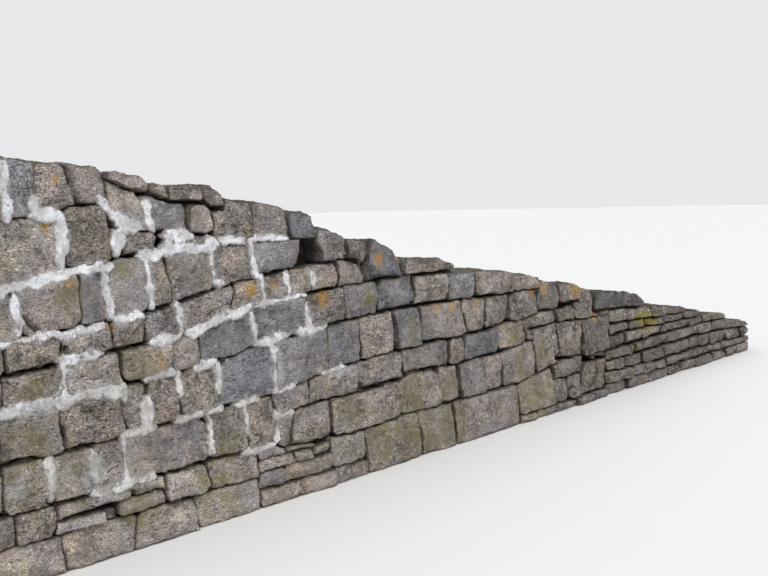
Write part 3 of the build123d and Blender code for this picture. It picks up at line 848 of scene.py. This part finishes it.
# %% The skin of a box
def skin(xs, ys, zs):
    """Welded skin of a box with grid lines xs, ys, zs: (vertices, outward quads)."""
    lines = [np.asarray(xs), np.asarray(ys), np.asarray(zs)]
    corners = []
    for axis in range(3):
        u, v = (axis + 1) % 3, (axis + 2) % 3
        i, j = np.meshgrid(np.arange(len(lines[u]) - 1), np.arange(len(lines[v]) - 1), indexing="ij")
        for end, order in ((0, (0, 3, 2, 1)), (len(lines[axis]) - 1, (0, 1, 2, 3))):
            quad = np.zeros((i.size, 4, 3), int)
            quad[:, :, axis] = end
            quad[:, :, u] = np.stack([i, i + 1, i + 1, i], -1).reshape(-1, 4)
            quad[:, :, v] = np.stack([j, j, j + 1, j + 1], -1).reshape(-1, 4)
            corners.append(quad[:, order])
    corners = np.concatenate(corners)
    keys, inverse = np.unique(corners.reshape(-1, 3), axis=0, return_inverse=True)
    vertices = np.stack([lines[a][keys[:, a]] for a in range(3)], 1)
    return vertices, inverse.reshape(-1, 4)


# %% The core
CORE_SUNK = 0.055  # how far the core stays below the head


def core():
    """A strip of height level(HEAD, x) - CORE_SUNK and width 2 * CORE_HALF, roughened all over."""
    xs = np.linspace(LEFT + 0.03, RIGHT - 0.03, 220)
    ys = np.linspace(-CORE_HALF - 0.002, CORE_HALF + 0.002, 9)
    points, quads = skin(xs, ys, np.linspace(0, 1, 16))
    x, y, z = points.T
    z = z * (level(HEAD, x) - CORE_SUNK)
    lift = 0.010 * rough(np.stack([x, y, z], 1), 0.05, 3, 41) * np.clip(z / 0.1, 0, 1)
    return np.stack([x, y, z + lift], 1), quads


points, quads = core()
# Painted shade: the core is made half as bright as a weathered stone, for the shade in the gaps that it shows
# through.
DIM = (1, 0.55, 0.2, 1, 1, 1, 1, 1)  # half as bright as a weathered stone, with little crust
plain = looks_of("w", np.zeros(len(points)), np.random.default_rng(1)) * DIM
core_piece = mesh_piece("hearting_core", points, quads, [], ["hearting"],
                        dressed(points, plain, front=False))
print("core quads", len(core_piece.data.polygons))


# %% Small stones on it
def pebble(centre, size, rng):
    """A block of 3 x 3 x 3 cells, its corners pulled in by |p| ^ -0.55, turned and squashed at random."""
    line = np.array([-1.0, -0.45, 0.45, 1.0])
    points, quads = skin(line, line, line)
    points = points / np.linalg.norm(points, axis=1, keepdims=True) ** 0.55
    points += 0.16 * rng.normal(size=points.shape)
    points *= np.array(size) / 2
    turn = Matrix.Rotation(rng.uniform(0, math.tau), 3, "Z") @ Matrix.Rotation(rng.normal(0, 0.25), 3, "X")
    points = points @ np.array(turn).T + centre
    return points, quads, None, looks_of(rng.choice(list("nnwb")), np.full(len(points), 0.02), rng)


def packed(apart=0.055):
    """Small stones along the top of the core and up its ends."""
    rng = np.random.default_rng(77)
    parts = []
    for x in np.arange(LEFT + 0.06, RIGHT - 0.04, apart):
        for y in (-0.052, 0.0, 0.052):
            at = (x + rng.normal(0, 0.012), y + rng.normal(0, 0.008), float(level(HEAD, x)) - 0.048)
            parts.append(pebble(at, rng.uniform((0.05, 0.04, 0.03), (0.085, 0.065, 0.05)), rng))
    for end, high in ((LEFT + 0.045, level(HEAD, LEFT) - 0.08), (RIGHT - 0.045, level(HEAD, RIGHT) - 0.08)):
        for z in np.arange(0.03, high, apart):
            for y in (-0.045, 0.015, 0.06):
                at = (end, y + rng.normal(0, 0.008), z + rng.normal(0, 0.006))
                parts.append(pebble(at, rng.uniform((0.05, 0.045, 0.04), (0.07, 0.075, 0.065)), rng))
    return joined(parts)


points, quads, rings, looks = packed()
rubble_piece = mesh_piece("hearting_rubble", points, quads, rings, None,
                          dressed(points, looks, front=False))
print("small stones' quads", len(rubble_piece.data.polygons))

# %% [markdown]
# ## Pointing
#
# The left third was repaired with pale lime mortar, smeared over the joints
# with a trowel. A band along each joint would look drawn, so the mortar is a
# sheet with holes in it: only the cells near a stroke of the trowel are kept.
# In a stroke the sheet lies level with the dressed stones, and beside it sinks
# under them, by n = 1 - cover: depth = 6 mm * n + 50 mm * n^3. Both are rough,
# so that the edge of the mortar is ragged where they cross.

# %% The mortar sheet
MORTAR_CELL, MORTAR_BACK = 0.0068, 0.062  # its grid, and how deep it reaches into the wall
LOOSE_END = -1.30  # no stroke is laid to the right of this


def closed(front, behind, cells):
    """Two sheets over the same cells, with a quad at each open edge: (vertices, quads)."""
    edges = np.stack([cells, np.roll(cells, -1, axis=1)], -1).reshape(-1, 2)
    code, mirrored = edges[:, 0] * len(front) + edges[:, 1], edges[:, 1] * len(front) + edges[:, 0]
    a, b = edges[~np.isin(code, mirrored)].T
    sides = np.stack([b, a, a + len(front), b + len(front)], 1)
    return np.concatenate([front, behind]), np.concatenate([cells, cells[:, ::-1] + len(front), sides])


def mortar_sheet():
    """Closed sheet over the pointed joints of the front face, as a function of x and z."""
    xs, zs = np.arange(LEFT + 0.012, LOOSE_END, MORTAR_CELL), np.arange(0.30, 1.98, MORTAR_CELL)
    gx, gz = (g.ravel() for g in np.meshgrid(xs, zs, indexing="ij"))
    cover = smeared(gx, gz, 0.035)
    cells = grid_quads(np.arange(gx.size).reshape(len(xs), len(zs)))
    cells = cells[cover[cells].min(axis=1) > 0.35]
    used, compact = np.unique(cells, return_inverse=True)
    cells, x, z, cover = compact.reshape(-1, 4), gx[used], gz[used], cover[used]
    skim = 0.0030 * rough(on_face(x, z), 0.07, 3, 51) + 0.0026 * rough(on_face(x, z), 0.022, 2, 53)
    z = np.minimum(z, level(HEAD, x) - 0.02)
    sunk = 0.006 * (1 - cover) + 0.050 * (1 - cover) ** 3
    front = np.stack([x, -face(z) + 0.0048 - skim + sunk, z], 1)
    # 0 below 0.70 m, rising to 1 above 1.30 m: the mortar is coloured paler high up and greyer low down
    high_up = np.clip((z - 0.70) / 0.60, 0, 1)
    layer = np.tile(np.stack([high_up, cover, 0 * z, 0 * z + 1], 1), (2, 1))
    return *closed(front, np.stack([x, -face(z) + MORTAR_BACK, z], 1), cells), layer


points, quads, layer = mortar_sheet()
mortar_piece = mesh_piece("lime_mortar", points, quads, [], None, {"high_up": layer})
print("mortar quads", len(mortar_piece.data.polygons))

# %% [markdown]
# ## Shader arithmetic
#
# A material could be wired by hand, node by node. `Wire` wraps one output
# socket instead, so that a pattern is written as a formula: a + b, a * 2,
# 1 - a. `Nodes.node` adds any other node by its type, settings and inputs.


# %% Wires
class Wire:
    """One output socket with + - * and a few functions, each of which adds one node."""

    def __init__(self, nodes, socket):
        self.nodes, self.socket = nodes, socket

    def math(self, operation, *others, clamp=False):
        """Math node with this wire as its first value."""
        values = dict(enumerate((self, *others)))
        made = self.nodes.node("ShaderNodeMath", values, operation=operation, use_clamp=clamp)
        return Wire(self.nodes, made)

    def __add__(self, other):
        return self.math("ADD", other)

    def __sub__(self, other):
        return self.math("SUBTRACT", other)

    def __rsub__(self, other):
        return self.math("MULTIPLY_ADD", -1.0, other)

    def __mul__(self, other):
        return self.math("MULTIPLY", other)

    __radd__, __rmul__ = __add__, __mul__

    def clip(self):
        """Clamped to 0..1."""
        return self.math("ADD", 0.0, clamp=True)

    def step(self, low, high):
        """Smooth step from 0 at low to 1 at high."""
        values = {"Value": self, "From Min": low, "From Max": high}
        made = self.nodes.node("ShaderNodeMapRange", values, interpolation_type="SMOOTHSTEP")
        return Wire(self.nodes, made)


# %% Nodes
class Nodes:
    """The node tree of a material or a world."""

    def __init__(self, owner):
        owner.use_nodes = True
        self.owner, self.tree = owner, owner.node_tree

    def node(self, kind, values=None, output=0, **settings):
        """Adds a node: sets its settings, then sets or links its inputs, and gives one of its outputs."""
        made = self.tree.nodes.new(kind)
        for key, value in settings.items():
            setattr(made, key, value)
        for slot, value in (values or {}).items():
            self.feed(made.inputs[slot], value)
        return made.outputs[output] if made.outputs else made

    def feed(self, slot, value):
        """Links a wire or socket to a slot, or sets the slot's constant."""
        if isinstance(value, Wire):
            value = value.socket
        if isinstance(value, bpy.types.NodeSocket):
            self.tree.links.new(value, slot)
        else:
            slot.default_value = value


# %% Finishes
class Finish(Nodes):
    """A material whose colour and bump are built up by formulas on a place, its Object coordinates."""

    def __init__(self, name):
        super().__init__(bpy.data.materials.new(name))
        self.place = self.node("ShaderNodeTexCoord", output="Object")

    def moved(self, amount, along):
        """The place moved by a wire's amount along a constant vector."""
        values = {0: amount, 1: along, 2: self.place}
        return self.node("ShaderNodeVectorMath", values, operation="MULTIPLY_ADD")

    def stretched(self, factors):
        """The place scaled along each axis."""
        return self.node("ShaderNodeVectorMath", {0: self.place, 1: factors}, operation="MULTIPLY")

    def upward(self):
        """How far the surface faces up, -1 to 1."""
        normal = self.node("ShaderNodeTexCoord", output="Normal")
        return Wire(self, self.node("ShaderNodeSeparateXYZ", {0: normal}, output="Z"))

    def clouds(self, scale, detail=4.0, harsh=0.6, place=None):
        """Noise texture in 0..1."""
        place = self.place if place is None else place
        values = {"Vector": place, "Scale": scale, "Detail": detail, "Roughness": harsh}
        return Wire(self, self.node("ShaderNodeTexNoise", values))

    def cells(self, scale, output="Distance"):
        """Voronoi texture: distance to the nearest seed point, or its random colour."""
        return Wire(self, self.node("ShaderNodeTexVoronoi", {"Vector": self.place, "Scale": scale}, output))

    def layer(self, name):
        """The four numbers of a per-vertex layer."""
        colour = self.node("ShaderNodeAttribute", output="Color", attribute_name=name)
        first = self.node("ShaderNodeSeparateColor", {0: colour})
        return [Wire(self, s) for s in (*first.node.outputs, colour.node.outputs["Alpha"])]

    def mix(self, share, first, second):
        """Two colours mixed by a share."""
        return self.node("ShaderNodeMix", {0: share, 6: first, 7: second}, output=2, data_type="RGBA")

    def over(self, base, share, colour):
        """A colour laid over another by a share, which is clamped to 0..1 first."""
        return self.mix(share.clip(), base, colour)

    def scaled(self, colour, amount):
        """A colour times a number."""
        return self.node("ShaderNodeVectorMath", {0: colour, "Scale": amount}, operation="SCALE")

    def finish(self, colour, roughness, height=None, distance=0.0, strength=1.0):
        """Sends colour, roughness and a bump, a height in 0..1 times a distance in metres, to the surface."""
        slots = self.tree.nodes["Principled BSDF"].inputs
        for name, value in (("Base Color", colour), ("Roughness", roughness), ("Specular IOR Level", 0.25)):
            self.feed(slots[name], value)
        if height is not None:
            values = {"Strength": strength, "Distance": distance, "Height": height}
            self.feed(slots["Normal"], self.node("ShaderNodeBump", values))
        return self.owner


# %% [markdown]
# ## Limestone
#
# Grey stone between brown and blue, darker in its blotches, under a patchy pale
# crust, with orange lichen, green algae, moss and lime where the layers say.
# Painted shade darkens its pits and, partly as dirt, its outline and its sides in
# the joints. A picture of stone would repeat and could not follow the stones;
# patterns worked out from the place do, and every stone reads them at a place
# of its own.

# %% Colours, as linear light
BROWN, BLUE, DARK = (0.388, 0.332, 0.312, 1), (0.277, 0.277, 0.31, 1), (0.07, 0.058, 0.053, 1)
# The first colour of the next line is painted shade, nearly black, for the pits.
PAINTED_PIT_SHADE, CRUST, WHITE = (0.022, 0.019, 0.018, 1), (0.66, 0.59, 0.5, 1), (0.82, 0.79, 0.74, 1)
LICHEN, GREEN, MOSSY = (0.7, 0.39, 0.09, 1), (0.3, 0.262, 0.1, 1), (0.44, 0.37, 0.05, 1)
LIME, SMEAR = (0.74, 0.74, 0.75, 1), (0.7, 0.7, 0.72, 1)
SOIL, OCHRE = (0.24, 0.21, 0.135, 1), (0.46, 0.37, 0.25, 1)


# %% Bare stone
def bare_stone(s, blue, bright, vary, seed, mottle, grain):
    """Brown mixed to blue, ochre clouds on what isn't blue, times brightness and three sizes of cloud."""
    base = s.over(BROWN, blue + (s.clouds(4.5, 4.0, 0.6) - 0.5) * 3.0, BLUE)
    tan = (s.clouds(6.5, 5.0, 0.63) + 0.12 * seed).step(0.53, 0.68) * (1 - blue)
    base = s.over(base, tan * 0.52, OCHRE)
    broad = s.clouds(5.5, 4.0, 0.65).step(0.40, 0.60)
    shade = (0.77 + 0.48 * broad) * (1 + vary * (0.52 * mottle - 0.26))
    shade = shade * (1 + (0.34 + 0.60 * vary) * (1.30 * grain - 0.58))
    return s.scaled(base, bright * shade)


# %% Its crust of lichen
def crusted(s, base, flecks, crust, blotched, bedded):
    """Dark blotches, then flecks and specks of pale crust, then white dots on some seed points."""
    base = s.over(base, s.clouds(8.0, 5.0, 0.66).step(0.51, 0.64) * blotched * 0.75, DARK)
    base = s.over(base, flecks * crust * 1.1, CRUST)
    speck = s.clouds(52.0, 6.0, 0.92, bedded).step(0.545, 0.575)
    base = s.over(base, speck * (0.30 + 0.60 * crust), CRUST)
    dots = (s.cells(23.0) + (s.clouds(85.0, 4.0, 0.7) - 0.5) * 1.2).step(0.36, 0.22)
    dots = dots * s.cells(23.0, "Color").step(0.42, 0.50) * s.clouds(4.0, 4.0, 0.6).step(0.42, 0.58)
    return s.over(base, dots * (0.50 + 0.35 * crust), WHITE)


# %% Its growths, lime and dirt on it, and painted shade at its outline
def overgrown(s, base, orange, algae, moss, mottle):
    """Algae by the mottling, orange lichen and moss in clouds, where their layers are above 0."""
    base = s.over(base, algae * (0.22 + 0.62 * mottle), GREEN)
    base = s.over(base, orange * s.clouds(40.0, 5.0, 0.8).step(0.42, 0.50), LICHEN)
    return s.over(base, moss * s.clouds(60.0, 4.0, 0.8).step(0.35, 0.50), MOSSY)


def soiled_and_shaded(s, base, lime, inside, grain):
    """Smears and scum of lime, ochre along the outline, soil on what faces up, and painted shade, partly
    dirt, in the joints.
    """
    smear = (lime + (s.clouds(32.0, 7.0, 0.85) - 0.5) * 3.0).step(0.92, 1.06)
    base = s.over(base, smear * 0.85, SMEAR)
    scum = (lime + (s.clouds(22.0, 7.0, 0.85) - 0.5) * 3.4).step(0.55, 1.05)
    base = s.over(base, scum * (0.15 + 0.50 * lime) * (0.55 + 0.75 * grain), LIME)
    rim = (1 - inside).step(0.15, 0.75) * s.clouds(22.0, 6.0, 0.75).step(0.46, 0.60)
    base = s.over(base, rim * 0.55, OCHRE)
    top = s.upward().step(0.55, 0.95) * s.clouds(20.0, 5.0, 0.75).step(0.42, 0.60)
    base = s.over(base, top * 0.55, SOIL)
    # painted shade, partly dirt: the colour falls to about half at the outline and on the sides in the joints
    return s.scaled(base, 0.45 + 0.55 * inside.step(-0.05, 0.35))


# %% The whole of it
def limestone():
    """Weathered limestone, coloured by the tone, kind and growth layers."""
    s = Finish("limestone")
    blue, bright, crust, inside = s.layer("tone")
    pitted, blotched, vary, seed = s.layer("kind")
    orange, algae, moss, lime = s.layer("growth")
    s.place = s.moved(seed, (7.1, 3.3, 5.7))
    bedded = s.stretched((0.70, 0.70, 1.3))
    mottle = s.clouds(13.0, 4.0, 0.60, bedded).step(0.34, 0.66)
    grain = s.clouds(125.0, 4.0, 0.85, bedded).step(0.40, 0.60)
    flecks = s.clouds(9.0, 7.0, 0.78).step(0.47, 0.58) * s.clouds(34.0, 7.0, 0.82).step(0.49, 0.54)
    holes = s.clouds(50.0, 7.0, 0.82, bedded).step(0.435, 0.400)
    pores = s.clouds(70.0, 6.0, 0.92, bedded).step(0.455, 0.425)
    base = bare_stone(s, blue, bright, vary, seed, mottle, grain)
    base = crusted(s, base, flecks, crust, blotched, bedded)
    # painted shade in the pits: holes and pores are coloured nearly black, over the dents that the bump makes
    base = s.over(base, (holes * 0.9 + pores * 0.62) * (0.26 + pitted), PAINTED_PIT_SHADE)
    base = overgrown(s, base, orange, algae, moss, mottle)
    base = soiled_and_shaded(s, base, lime, inside, grain)
    height = 0.35 * mottle + 0.45 * grain + 0.10 * s.clouds(300.0, 3.0, 0.7) + 0.15 * flecks
    return s.finish(base, 0.86 + 0.12 * grain, height - (holes * 0.6 + pores * 0.3) * pitted, 0.014)


# %% Mortar
MORTAR_HIGH = (0.55, 0.55, 0.57, 1), (0.82, 0.83, 0.88, 1)
MORTAR_LOW = (0.34, 0.325, 0.31, 1), (0.66, 0.65, 0.64, 1)
DULL, STAIN, SAND = (0.4, 0.385, 0.365, 1), (0.31, 0.285, 0.26, 1), (0.25, 0.22, 0.20)


def mortar():
    """Pale lime mortar, trowelled smooth, dirtied in patches; greyer and more stained low down on the wall.
    """
    s = Finish("lime_mortar")
    high_up, cover, *_ = s.layer("high_up")
    soft, sandy = s.clouds(9.0, 6.0, 0.70), s.clouds(130.0, 4.0, 0.78)
    high_colour, low_colour = (s.mix(soft.step(0.42, 0.58), *pair) for pair in (MORTAR_HIGH, MORTAR_LOW))
    # greyer and more stained low down on the wall, paler high up
    base = s.over(low_colour, high_up + (s.clouds(3.0) - 0.5) * 1.5, high_colour)
    dull = s.clouds(4.0, 3.0, 0.6).step(0.46, 0.60) * (0.60 - 0.20 * high_up)
    base = s.over(base, dull, DULL)
    stain = (s.clouds(24.0, 7.0, 0.8) + 0.16 * (1 - cover)).step(0.51, 0.64) * (0.95 - 0.35 * high_up)
    base = s.scaled(s.over(base, stain, STAIN), 0.82 + 0.32 * sandy)
    whole = (cover + (s.clouds(34.0, 8.0, 0.95) - 0.5) * 4.6).step(0.62, 0.74)
    base = s.mix(whole, s.scaled(SAND, 0.6 + 0.8 * sandy), base)
    height = soft * 0.4 + sandy * 0.35 + s.clouds(40.0, 5.0, 0.7) * 0.7
    return s.finish(base, 0.90 + 0.08 * sandy, height, 0.008, 0.9)


STONE, MORTAR = limestone(), mortar()
for piece in [*front_pieces, *back_pieces, *cope_pieces, core_piece, rubble_piece]:
    piece.data.materials.append(STONE)
mortar_piece.data.materials.append(MORTAR)
print("materials", [(m.name, len(m.node_tree.nodes)) for m in (STONE, MORTAR)])

# %% [markdown]
# ## Stage, light and camera
#
# A pale floor and background, an even dome of light and one broad, high lamp,
# as under a bright, cloudy sky: a small hard lamp would draw shadows that the
# wall doesn't show. The camera stands where the photograph was taken.


# %% Floor
def floor(wide=60.0):
    """A wide pale plane under the wall."""
    mesh = bpy.data.meshes.new("floor")
    corners = [(-wide, -wide, 0), (wide, -wide, 0), (wide, wide, 0), (-wide, wide, 0)]
    mesh.from_pydata(corners, [], [(0, 1, 2, 3)])
    mesh.materials.append(Finish("floor").finish((0.62, 0.62, 0.61, 1), 0.95))
    ground = bpy.data.objects.new("floor", mesh)
    bpy.context.scene.collection.objects.link(ground)
    return ground


print("floor", tuple(floor().dimensions))


# %% Background and light
def surroundings(overhead=1.30, horizon=0.50):
    """A dome like an overcast sky, brighter overhead, that shows the camera a plain pale colour."""
    world = bpy.data.worlds.new("studio")
    bpy.context.scene.world = world
    s = Nodes(world)
    s.tree.nodes.clear()
    rays = [s.node("ShaderNodeLightPath", output=ray) for ray in ("Is Camera Ray", "Is Glossy Ray")]
    seen = s.node("ShaderNodeMath", dict(enumerate(rays)), operation="MAXIMUM")
    aim = s.node("ShaderNodeTexCoord", output="Generated")
    height = s.node("ShaderNodeSeparateXYZ", {0: aim}, output="Z")
    rise = s.node("ShaderNodeMapRange", {"Value": height, "To Min": horizon, "To Max": overhead})
    dome = s.node("ShaderNodeBackground", {"Color": (0.95, 0.97, 1.0, 1), "Strength": rise})
    backdrop = s.node("ShaderNodeBackground", {"Color": (0.80, 0.81, 0.82, 1), "Strength": 1.0})
    either = s.node("ShaderNodeMixShader", {0: seen, 1: dome, 2: backdrop})
    s.node("ShaderNodeOutputWorld", {0: either})


def sun(azimuth, elevation, strength, spread):
    """A distant lamp that shines from a compass direction and height, in degrees."""
    lamp = bpy.data.lights.new("sun", "SUN")
    lamp.energy, lamp.angle = strength, math.radians(spread)
    lamp.color = (1.0, 0.985, 0.96)
    holder = bpy.data.objects.new("sun", lamp)
    a, e = math.radians(azimuth), math.radians(elevation)
    towards = Vector((math.sin(a) * math.cos(e), -math.cos(a) * math.cos(e), math.sin(e)))
    holder.rotation_mode = "QUATERNION"
    holder.rotation_quaternion = towards.to_track_quat("Z", "Y")
    bpy.context.scene.collection.objects.link(holder)


surroundings()
sun(azimuth=-35, elevation=55, strength=1.9, spread=40)
print("lamps", len(bpy.data.lights), "worlds", len(bpy.data.worlds))

# %% Camera
EYE = Vector((-5.938, -4.738, 1.77))
HEADING, PITCH, ROLL = math.radians(47.68), math.radians(5.33), 0.035
FOCAL, PICTURE = 1050, 768  # the lens's focal length and the picture's width, in pixels
FILM = 36.0  # the width of the film in mm


def camera():
    """Stands 4.7 m out from the middle plane and looks along the wall, slightly down, rolled 2 degrees."""
    level_ahead, down = math.cos(PITCH), math.sin(PITCH)
    ahead = Vector((math.sin(HEADING) * level_ahead, math.cos(HEADING) * level_ahead, -down))
    flat_right = Vector((math.cos(HEADING), -math.sin(HEADING), 0))
    flat_up = flat_right.cross(ahead)
    right = flat_right * math.cos(ROLL) - flat_up * math.sin(ROLL)
    up = flat_up * math.cos(ROLL) + flat_right * math.sin(ROLL)
    lens = bpy.data.cameras.new("photographer")
    lens.sensor_width, lens.lens = FILM, FILM * FOCAL / PICTURE
    lens.clip_end = 200
    holder = bpy.data.objects.new("photographer", lens)
    holder.matrix_world = Matrix((right, up, -ahead)).transposed().to_4x4()
    holder.location = EYE
    bpy.context.scene.collection.objects.link(holder)
    bpy.context.scene.camera = holder
    return lens.lens


print("lens", round(camera(), 1), "mm")
bpy.context.scene.view_settings.view_transform = "Standard"
